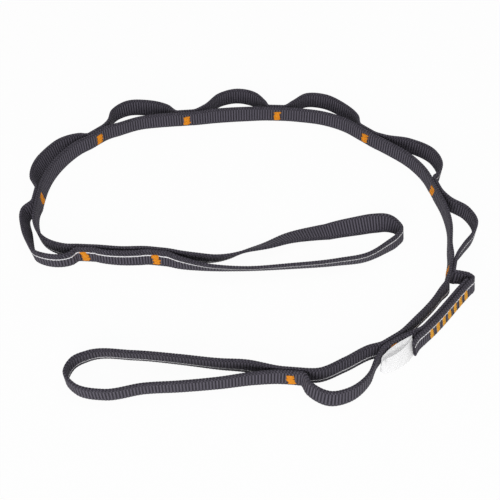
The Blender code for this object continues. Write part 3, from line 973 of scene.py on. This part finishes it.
@dataclass
class Webbing:
    """The run of webbing, in pieces that each span one flex."""

    lay: Lay
    finish: WebbingFinish = field(default_factory=WebbingFinish)
    rib_pitch: float = 0.00265
    rib_depth: float = 0.00022
    rib_cuts: int = 6
    rib_fullness: float = 0.7
    edge_round: float = 0.0011
    edge_segments: int = 3
    face_cuts: int = 5
    tracer_places: tuple[float, float] = (5.5, 7.5)
    pinch_depth: float = 0.00035
    pinch_fade: float = 0.0016
    bend_reach: float = 0.008
    same_place: float = 1e-6
    merge_reach: float = 0.00002
    smooth_angle: float = math.radians(50)

    @property
    def near(self) -> float:
        """How near to a cut across the tape its vertices are looked for."""
        return self.rib_pitch / 20

    def rib(self) -> bpy.types.Object:
        """Models one rib of the tape, upright on the X axis, with open ends in its grooves.

        Returns:
            The rib.
        """
        deselect()
        bpy.ops.mesh.primitive_cube_add(size=1.0, location=(self.rib_pitch / 2, 0.0, 0.0),
                                        scale=(self.rib_pitch, TAPE_THICKNESS, TAPE_WIDTH))
        rib = added("tape_rib")
        bpy.ops.object.mode_set(mode="EDIT")
        choose(rib, "EDGE", lambda edge: abs((edge.verts[0].co - edge.verts[1].co).x) > self.rib_pitch / 2)
        bpy.ops.mesh.bevel(offset=self.edge_round, segments=self.edge_segments, affect="EDGES")
        choose(rib, "FACE", lambda face: abs(face.normal.x) > 0.9)
        bpy.ops.mesh.delete(type="ONLY_FACE")
        choose(rib, "EDGE", lambda edge: abs((edge.verts[0].co - edge.verts[1].co).z) > TAPE_WIDTH / 2)
        bpy.ops.mesh.subdivide(number_cuts=self.face_cuts)
        for cut in range(1, self.rib_cuts):
            cut_across(self.rib_pitch * cut / self.rib_cuts)
        for cut in range(self.rib_cuts + 1):
            place = self.rib_pitch * cut / self.rib_cuts
            dip = 1 - abs(math.sin(math.pi * cut / self.rib_cuts)) ** self.rib_fullness
            narrow = 1 - 2 * self.rib_depth * dip / TAPE_THICKNESS
            choose(rib, "VERT", lambda vert: abs(vert.co.x - place) < self.near)
            bpy.ops.transform.resize(value=(1.0, narrow, 1.0), center_override=(place, 0.0, 0.0))
        bpy.ops.object.mode_set(mode="OBJECT")
        return rib

    def map_rib(self, mesh: bpy.types.Mesh, first: float, pitch: float) -> None:
        """Gives a straight tape its map: ribs along it, and millimetres round it from under its middle.

        Args:
            mesh: The tape's mesh, straight along X.
            first: Where the tape starts.
            pitch: Its ribs' pitch.
        """
        layer = mesh.uv_layers.get("UVMap") or mesh.uv_layers.new(name="UVMap")
        half = TAPE_THICKNESS / 2
        for polygon in mesh.polygons:
            flat = abs(polygon.normal.y) >= abs(polygon.normal.z)
            for loop in polygon.loop_indices:
                x, y, z = mesh.vertices[mesh.loops[loop].vertex_index].co
                if flat and polygon.normal.y < 0:
                    place = half + z + TAPE_WIDTH / 2
                elif flat:
                    place = half + TAPE_WIDTH + 2 * half + TAPE_WIDTH / 2 - z
                elif polygon.normal.z > 0:
                    place = half + TAPE_WIDTH + half + y
                else:
                    place = -y
                layer.data[loop].uv = ((x - first) / pitch, place * 1000)

    def trace(self, mesh: bpy.types.Mesh, twist: Span) -> None:
        """Marks where the tracer lies, in millimetres round the tape: it drifts along the half twist.

        Args:
            mesh: The tape's mesh, straight along X.
            twist: Where the half twist begins and ends.
        """
        places = mesh.attributes.new("tracer_place", "FLOAT", "POINT")
        for vertex, place in zip(mesh.vertices, places.data):
            share = min(max((vertex.co.x - twist[0]) / (twist[1] - twist[0]), 0.0), 1.0)
            place.value = self.tracer_places[0] + (self.tracer_places[1] - self.tracer_places[0]) * share

    def pinch(self, mesh: bpy.types.Mesh, tacks: list[tuple[float, float, float]]) -> None:
        """Presses the outer face in under its bar tacks.

        Args:
            mesh: The tape's mesh, straight along X.
            tacks: Each tack's middle along the tape, the side of the outer face, and the tack's own drop.
        """
        for middle, outer, drop in tacks:
            for vertex in mesh.vertices:
                along = abs(vertex.co.x - middle) - TACK_LENGTH / 2
                up = abs(vertex.co.z + drop) - TACK_HEIGHT / 2
                reach = max(along, up, 0.0) / self.pinch_fade
                if vertex.co.y * outer > 0 and reach < 1:
                    vertex.co.y -= outer * self.pinch_depth * (1 - reach * reach * (3 - 2 * reach))

    def build(self) -> list[bpy.types.Object]:
        """Builds and dresses every piece of the run, cut in the middle of each strand.

        Returns:
            The pieces.
        """
        stretches = self.lay.stretches()
        places: list[Place] = []
        tilts: list[float] = []
        ends: list[Span] = []
        length = 0.0
        for stretch in stretches:
            begin = length
            for point in stretch.line:
                place = Vector((point.x, point.y, tape_height(point.z)))
                if places:
                    step = (place - Vector(places[-1])).length
                    if step < self.same_place / 10:
                        continue
                    length += step
                places.append(tuple(place))
                tilts.append(point.z)
            ends.append((begin, length))
        guide = guide_curve("tape_run", places, tilts)
        middles = [index for index, stretch in enumerate(stretches) if "strand" in stretch.node]
        cuts = [0.0] + [sum(ends[index]) / 2 for index in middles] + [length]
        twist = ends[[stretch.node for stretch in stretches].index("end_loop_1")]
        rib = self.rib()
        material = self.finish.build()
        pieces = []
        for first, last in zip(cuts, cuts[1:]):
            covered = [i for i, (begin, end) in enumerate(ends)
                       if begin < last - self.same_place and end > first + self.same_place]
            pieces.append(self.piece(rib, guide, first, last, [stretches[i] for i in covered],
                                     [ends[i] for i in covered], twist, material))
        bpy.data.objects.remove(rib)
        bpy.data.objects.remove(guide)
        return pieces

    def piece(self, rib: bpy.types.Object, guide: bpy.types.Object, first: float, last: float,
              covered: list[Stretch], spans: list[Span], twist: Span,
              material: bpy.types.Material) -> bpy.types.Object:
        """One piece of webbing, from one cut to the next.

        Args:
            rib: The rib that it repeats.
            guide: The curve of the whole run.
            first: Where it starts along the run.
            last: Where it ends.
            covered: The stretches that it covers.
            spans: Where these start and end.
            twist: Where the half twist begins and ends along the run.
            material: Its material.

        Returns:
            The piece.
        """
        links = sorted({stretch.link for stretch in covered}, key=self.number)
        flex = self.number(links[1])
        kind = "straight" if "straight" in covered[0].node and "straight" in covered[-1].node else "loop"
        name = {1: "webbing_end_loop_1", 11: "webbing_end_loop_2"}.get(flex, f"webbing_{kind}_side_{flex}")
        count = round((last - first) / self.rib_pitch)
        pitch = (last - first) / count
        piece = copied(rib, name)
        piece.data.transform(Matrix.Diagonal((pitch / self.rib_pitch, 1.0, 1.0, 1.0)))
        apply_modifier(piece, "ARRAY", count=count, use_relative_offset=False, use_constant_offset=True,
                       constant_offset_displace=(pitch, 0.0, 0.0), use_merge_vertices=True,
                       merge_threshold=self.merge_reach)
        piece.data.transform(Matrix.Translation((first, 0.0, 0.0)))
        self.close(piece, first, last)
        self.map_rib(piece.data, first, pitch)
        self.trace(piece.data, twist)
        tacks = []
        for before, after, (_, end) in zip(covered, covered[1:], spans):
            tack = self.tack_at(before, after)
            way = Way.BACK if "straight" in before.node + after.node else Way.ALONG
            outer = -1.0 if before.line[-1].z > HALF_TWIST / 2 else 1.0
            tacks.append((end - way.value * FLEX_SIDES[tack] * FLEX_SETBACK, outer, outer * TACK_DROP))
        self.pinch(piece.data, tacks)
        apply_modifier(piece, "CURVE", object=guide, deform_axis="POS_X")
        activate(piece)
        bpy.ops.object.shade_smooth_by_angle(angle=self.smooth_angle)
        dress(piece, material)
        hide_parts(*(stretch.node for stretch in covered))
        tack = flex - 1
        heading = direction(TACK_HEADINGS[tack])
        reach = (self.bend_reach, FLEX_REACH) if FLEX_SIDES[tack] < 0 else (FLEX_REACH, self.bend_reach)
        start = self.lay.flex(tack) - heading * reach[0]
        end = self.lay.flex(tack) + heading * reach[1]
        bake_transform(piece)
        return piece

    def close(self, piece: bpy.types.Object, first: float, last: float) -> None:
        """Closes both ends of a straight tape.

        Args:
            piece: The tape.
            first: Where it starts.
            last: Where it ends.
        """
        activate(piece)
        bpy.ops.object.mode_set(mode="EDIT")
        for place in (first, last):
            choose(piece, "EDGE", lambda edge: edge.is_boundary
                   and all(abs(vert.co.x - place) < self.near for vert in edge.verts))
            bpy.ops.mesh.fill(use_beauty=True)
        bpy.ops.mesh.select_all(action="SELECT")
        bpy.ops.mesh.normals_make_consistent(inside=False)
        bpy.ops.object.mode_set(mode="OBJECT")

    def number(self, link: str) -> int:
        """The number of a link, from its name."""
        return [self.lay.link(number) for number in range(12)].index(link)

    def tack_at(self, before: Stretch, after: Stretch) -> int:
        """The bar tack at the flex between two stretches."""
        return max(self.number(before.link), self.number(after.link)) - 1


@dataclass(frozen=True)
class TackPattern:
    """The pattern of a bar tack.

    It has a length and a height, a drop under the tape's middle, a slant of its rows in degrees, the rise of
    a stitch over its length, and how far a stitch's ends stray.
    """

    length: float
    height: float
    drop: float
    slant: float
    rise: float
    ragged: float


@dataclass
class BarTacks:
    """The bar tacks: rows of stitches over both faces of two sewn layers."""

    lay: Lay
    thread_radius: float = 0.00027
    row_pitch: float = 0.00044
    rows_alike: int = 4
    row_stray_share: float = 0.3
    other_rise_share: float = 0.55
    ply_shift: float = 0.37
    inner_slant_share: float = 0.25
    end_row_share: float = 0.62
    sunk: float = 0.00012
    loose: float = 0.00009
    chain_finish: ThreadFinish = ThreadFinish("orange thread", (1.0, 0.42, 0.012, 1.0),
                                              (0.72, 0.20, 0.006, 1.0))
    splice_finish: ThreadFinish = ThreadFinish("amber thread", (0.96, 0.50, 0.050, 1.0),
                                               (0.66, 0.28, 0.022, 1.0))
    chain_pattern: TackPattern = TackPattern(0.0064, 0.0106, TACK_DROP, 13.0, 0.0009, 0.0008)
    splice_pattern: TackPattern = TackPattern(0.0047, 0.0104, 0.0027, 6.0, 0.0015, 0.00035)
    splice_pitch: float = 0.0086
    splice_start: float = 0.0085
    splice_count: int = 7
    first_splice_seed: int = 40
    surface: float = LAYER_PITCH / 2 + TAPE_THICKNESS / 2
    stitch_sides: int = 8
    stitch_cuts: tuple[float, ...] = (-0.44, -0.36, 0.0, 0.36, 0.44)
    shoulder: float = 0.42
    shoulder_dip: float = 0.35
    tip: float = 0.48
    tip_dip: float = 1.6
    tip_size: float = 0.6
    smooth_angle: float = math.radians(60)

    def stitch(self) -> bpy.types.Object:
        """Models one stitch, a metre long on the X axis, whose ends dip into the webbing towards -Y.

        Returns:
            The stitch.
        """
        deselect()
        bpy.ops.mesh.primitive_cylinder_add(vertices=self.stitch_sides, radius=self.thread_radius, depth=1.0,
                                            rotation=(0.0, math.pi / 2, 0.0))
        stitch = added("stitch")
        bpy.ops.object.mode_set(mode="EDIT")
        for place in self.stitch_cuts:
            cut_across(place)
        dip = -self.tip_dip * self.thread_radius
        choose(stitch, "VERT", lambda vert: abs(vert.co.x) > self.tip)
        bpy.ops.transform.translate(value=(0.0, dip, 0.0))
        for side in (-1, 1):
            choose(stitch, "VERT", lambda vert: vert.co.x * side > self.tip)
            bpy.ops.transform.resize(value=(1.0, self.tip_size, self.tip_size),
                                     center_override=(side * 0.5, dip, 0.0))
        choose(stitch, "VERT", lambda vert: self.shoulder < abs(vert.co.x) < self.tip)
        bpy.ops.transform.translate(value=(0.0, -self.shoulder_dip * self.thread_radius, 0.0))
        bpy.ops.object.mode_set(mode="OBJECT")
        layer = stitch.data.uv_layers.get("UVMap") or stitch.data.uv_layers.new(name="UVMap")
        for loop in stitch.data.loops:
            spot = stitch.data.vertices[loop.vertex_index].co
            layer.data[loop.index].uv = (spot.x, math.atan2(spot.z, spot.y) / math.tau)
        return stitch

    def sew(self, name: str, stitch: bpy.types.Object, place: Vector, heading: float, lean: float,
            pattern: TackPattern, seed: int) -> bpy.types.Object:
        """One bar tack.

        Args:
            name: The piece's name.
            stitch: The stitch that it repeats.
            place: Its place in the plan, between the layers.
            heading: The way that the tape runs there, in degrees.
            lean: How far the tape's top leans out there, in degrees.
            pattern: Its pattern.
            seed: The seed of its raggedness.

        Returns:
            The piece.
        """
        strays = random.Random(seed)
        matrix = Matrix.Translation((*place, tape_height(lean)))
        matrix = matrix @ Matrix.Rotation(math.radians(heading), 4, "Z")
        matrix = matrix @ Matrix.Rotation(math.radians(-lean), 4, "X")
        ragged = pattern.ragged
        rows = int(pattern.height / self.row_pitch)
        body = bmesh.new()
        for side, slant in ((-1, pattern.slant * self.inner_slant_share), (1, pattern.slant)):
            for row in range(rows + 1):
                up = row * pattern.height / rows - pattern.height / 2
                if row % self.rows_alike == 0:
                    wander = [strays.uniform(-ragged, ragged) for end in range(2)]
                ends = [stray + strays.uniform(-ragged, ragged) * self.row_stray_share for stray in wander]
                taper = self.end_row_share if row in (0, rows) else 1.0
                own = pattern.length * taper + ends[1] - ends[0]
                shift = up * math.tan(math.radians(slant)) + (ends[0] + ends[1]) / 2
                turn = math.atan2(pattern.rise * (1 if row % 2 else self.other_rise_share), pattern.length)
                out = self.surface - self.sunk + strays.uniform(0.0, self.loose)
                spot = Vector((shift, side * out, up - pattern.drop))
                local = Matrix.Translation(spot) @ Matrix.Rotation(turn * side, 4, "Y")
                local = local @ Matrix.Diagonal((own, side, 1.0, 1.0))
                mesh = stitch.data.copy()
                mesh.transform(matrix @ local)
                if side < 0:
                    mesh.flip_normals()
                for loop in mesh.uv_layers["UVMap"].data:
                    loop.uv = (loop.uv[0] * own * 1000 + row * self.ply_shift, loop.uv[1])
                body.from_mesh(mesh)
                bpy.data.meshes.remove(mesh)
        mesh = bpy.data.meshes.new(name)
        body.to_mesh(mesh)
        body.free()
        piece = bpy.data.objects.new(name, mesh)
        bpy.context.scene.collection.objects.link(piece)
        activate(piece)
        bpy.ops.object.shade_smooth_by_angle(angle=self.smooth_angle)
        return piece

    def build(self) -> list[bpy.types.Object]:
        """Sews every bar tack of the chain and of the splice.

        Returns:
            The pieces.
        """
        stitch = self.stitch()
        chain_thread = self.chain_finish.build()
        splice_thread = self.splice_finish.build()
        pieces = []
        for tack, place in enumerate(self.lay.tacks):
            piece = self.sew(f"bar_tack_stitches_{tack + 1}", stitch, place, TACK_HEADINGS[tack],
                             TACK_LEANS[tack], self.chain_pattern, tack)
            dress(piece, chain_thread)
            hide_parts(f"bar_tack_{tack + 1}")
            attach(piece, self.lay.link_of_tack(tack))
            pieces.append(piece)
        line = self.lay.sewn()
        travelled = 0.0
        wanted = [self.splice_start + number * self.splice_pitch for number in range(self.splice_count)]
        for a, b in zip(line, line[1:]):
            along = b.xy - a.xy
            for number, distance in enumerate(wanted):
                if travelled <= distance < travelled + along.length:
                    point = a.lerp(b, (distance - travelled) / along.length)
                    heading = math.degrees(math.atan2(along.y, along.x))
                    piece = self.sew(f"splice_stitches_{number + 1}", stitch, point.xy, heading, -point.z,
                                     self.splice_pattern, self.first_splice_seed + number)
                    dress(piece, splice_thread)
                    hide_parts(f"splice_tack_{number + 1}")
                    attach(piece, self.lay.link(SPLICED_POCKET + 1))
                    pieces.append(piece)
            travelled += along.length
        bpy.data.objects.remove(stitch)
        return pieces


@dataclass
class Label:
    """The folded label, whose ends go in between the layers of the splice."""

    lay: Lay
    finish: LabelFinish = field(default_factory=LabelFinish)
    height: float = 0.0135
    thickness: float = 0.0004
    foot: float = 0.0016
    cell: float = 0.0008
    smooth_angle: float = math.radians(50)

    def build(self) -> bpy.types.Object:
        """Builds the label: a flat strip, bent along its fold and given its thickness.

        Returns:
            The label.
        """
        heading = direction(TACK_HEADINGS[LABEL_TACK]) * POCKET_PITCH
        start = self.lay.tacks[LABEL_TACK]
        line = smooth([(*(start + heading * u + left_of(heading) * v), tilt) for u, v, tilt in LABEL_SHARES])
        half = self.height / 2
        places = [(p.x, p.y, self.foot + middle_height(p.z, half, self.thickness / 2, 0.0)) for p in line]
        guide = guide_curve("label_fold", places, [p.z for p in line])
        length = sum((Vector(b) - Vector(a)).length for a, b in zip(places, places[1:]))
        deselect()
        bpy.ops.mesh.primitive_grid_add(x_subdivisions=round(length / self.cell),
                                        y_subdivisions=round(self.height / self.cell), size=1.0,
                                        location=(0.5, 0.0, 0.0), rotation=(math.pi / 2, 0.0, 0.0))
        label = added("label_tape")
        bpy.ops.object.mode_set(mode="EDIT")
        bpy.ops.mesh.select_all(action="SELECT")
        bpy.ops.transform.resize(value=(length, 1.0, self.height), center_override=(0.0, 0.0, 0.0))
        bpy.ops.object.mode_set(mode="OBJECT")
        layer = label.data.uv_layers.get("UVMap") or label.data.uv_layers.new(name="UVMap")
        for loop in label.data.loops:
            spot = label.data.vertices[loop.vertex_index].co
            layer.data[loop.index].uv = (spot.x * 1000, spot.z * 1000)
        apply_modifier(label, "CURVE", object=guide, deform_axis="POS_X")
        apply_modifier(label, "SOLIDIFY", thickness=self.thickness, offset=0.0)
        activate(label)
        bpy.ops.object.shade_smooth_by_angle(angle=self.smooth_angle)
        dress(label, self.finish.build())
        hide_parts("folded_label")
        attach(label, self.lay.link_of_tack(LABEL_TACK))
        bpy.data.objects.remove(guide)
        return label


@dataclass(frozen=True)
class Lamp:
    """A soft square lamp: its place, the side of its square, and its power in watts."""

    name: str
    place: Place
    size: float
    power: float


@dataclass
class Studio:
    """The floor, the lights and the camera."""

    lay: Lay
    from_first_tack: tuple[float, float] = (0.083396, 0.013997)
    distance: float = 0.8
    elevation: float = 52.0
    focal_pixels: float = 880.0
    frame_pixels: float = 500.0
    sensor_width: float = 36.0
    clip_range: Span = (0.01, 50.0)
    floor_size: float = 6.0
    floor_drop: float = 0.0002
    room_strength: float = 0.22
    lamps: tuple[Lamp, ...] = (
        Lamp("front softbox", (-0.35, -1.7, 0.85), 0.9, 21.0),
        Lamp("top softbox", (0.3, 0.2, 1.5), 1.2, 9.0),
    )

    @property
    def middle(self) -> Vector:
        """The point of the floor in the middle of the view."""
        return Vector((*(self.lay.tacks[0] + Vector(self.from_first_tack)), 0.0))

    def camera(self) -> None:
        """Places the camera of the photograph."""
        data = bpy.data.cameras.new("camera")
        data.sensor_fit = "HORIZONTAL"
        data.sensor_width = self.sensor_width
        data.lens = self.focal_pixels / self.frame_pixels * self.sensor_width
        data.clip_start, data.clip_end = self.clip_range
        camera = bpy.data.objects.new("camera", data)
        bpy.context.scene.collection.objects.link(camera)
        angle = math.radians(self.elevation)
        away = Vector((0.0, -math.cos(angle), math.sin(angle))) * self.distance
        camera.location = self.middle + away
        camera.rotation_euler = (math.pi / 2 - angle, 0.0, 0.0)
        bpy.context.scene.camera = camera

    def hang(self, lamp: Lamp) -> None:
        """Hangs a lamp that faces the chain.

        Args:
            lamp: The lamp.
        """
        data = bpy.data.lights.new(lamp.name, "AREA")
        data.shape = "SQUARE"
        data.size = lamp.size
        data.energy = lamp.power
        light = bpy.data.objects.new(lamp.name, data)
        bpy.context.scene.collection.objects.link(light)
        light.location = lamp.place
        light.rotation_euler = (self.middle - Vector(lamp.place)).to_track_quat("-Z", "Y").to_euler()

    def floor(self) -> None:
        """Lays the floor."""
        deselect()
        bpy.ops.mesh.primitive_plane_add(size=self.floor_size, location=(0.0, 0.0, -self.floor_drop))
        floor = added("studio_floor")
        floor.data.materials.append(FloorFinish().build())
        floor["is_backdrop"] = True

    def world(self) -> None:
        """Lights the room evenly, and shows it white."""
        world = bpy.data.worlds.new("studio")
        world.use_nodes = True
        bpy.context.scene.world = world
        nodes = Nodes(world.node_tree)
        room = nodes.tree.nodes["Background"]
        nodes.feed(room.inputs["Color"], WHITE)
        nodes.feed(room.inputs["Strength"], self.room_strength)
        white = nodes.node("ShaderNodeBackground", {}, {"Color": WHITE, "Strength": 1.0})
        nodes.end_in("World Output", nodes.seen(), room, white)

    def build(self) -> None:
        """Sets the whole studio up."""
        bpy.context.scene.view_settings.view_transform = "Standard"
        self.camera()
        self.floor()
        for lamp in self.lamps:
            self.hang(lamp)
        self.world()


def corners() -> list[list[float]]:
    """The corners of the object's box, as plain lists."""
    return [list(map(float, corner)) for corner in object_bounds()]


def main() -> None:
    """Builds the studio, the webbing, the bar tacks and the label, and reports each piece."""
    logging.basicConfig(level=logging.INFO, format="%(name)s: %(message)s")
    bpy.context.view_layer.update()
    lay = Lay()
    Studio(lay).build()
    pieces = [*Webbing(lay).build(), *BarTacks(lay).build(), Label(lay).build()]
    for piece in pieces:
        log.info("%s: %d faces", piece.name, len(piece.data.polygons))


if __name__ == "__main__":
    main()
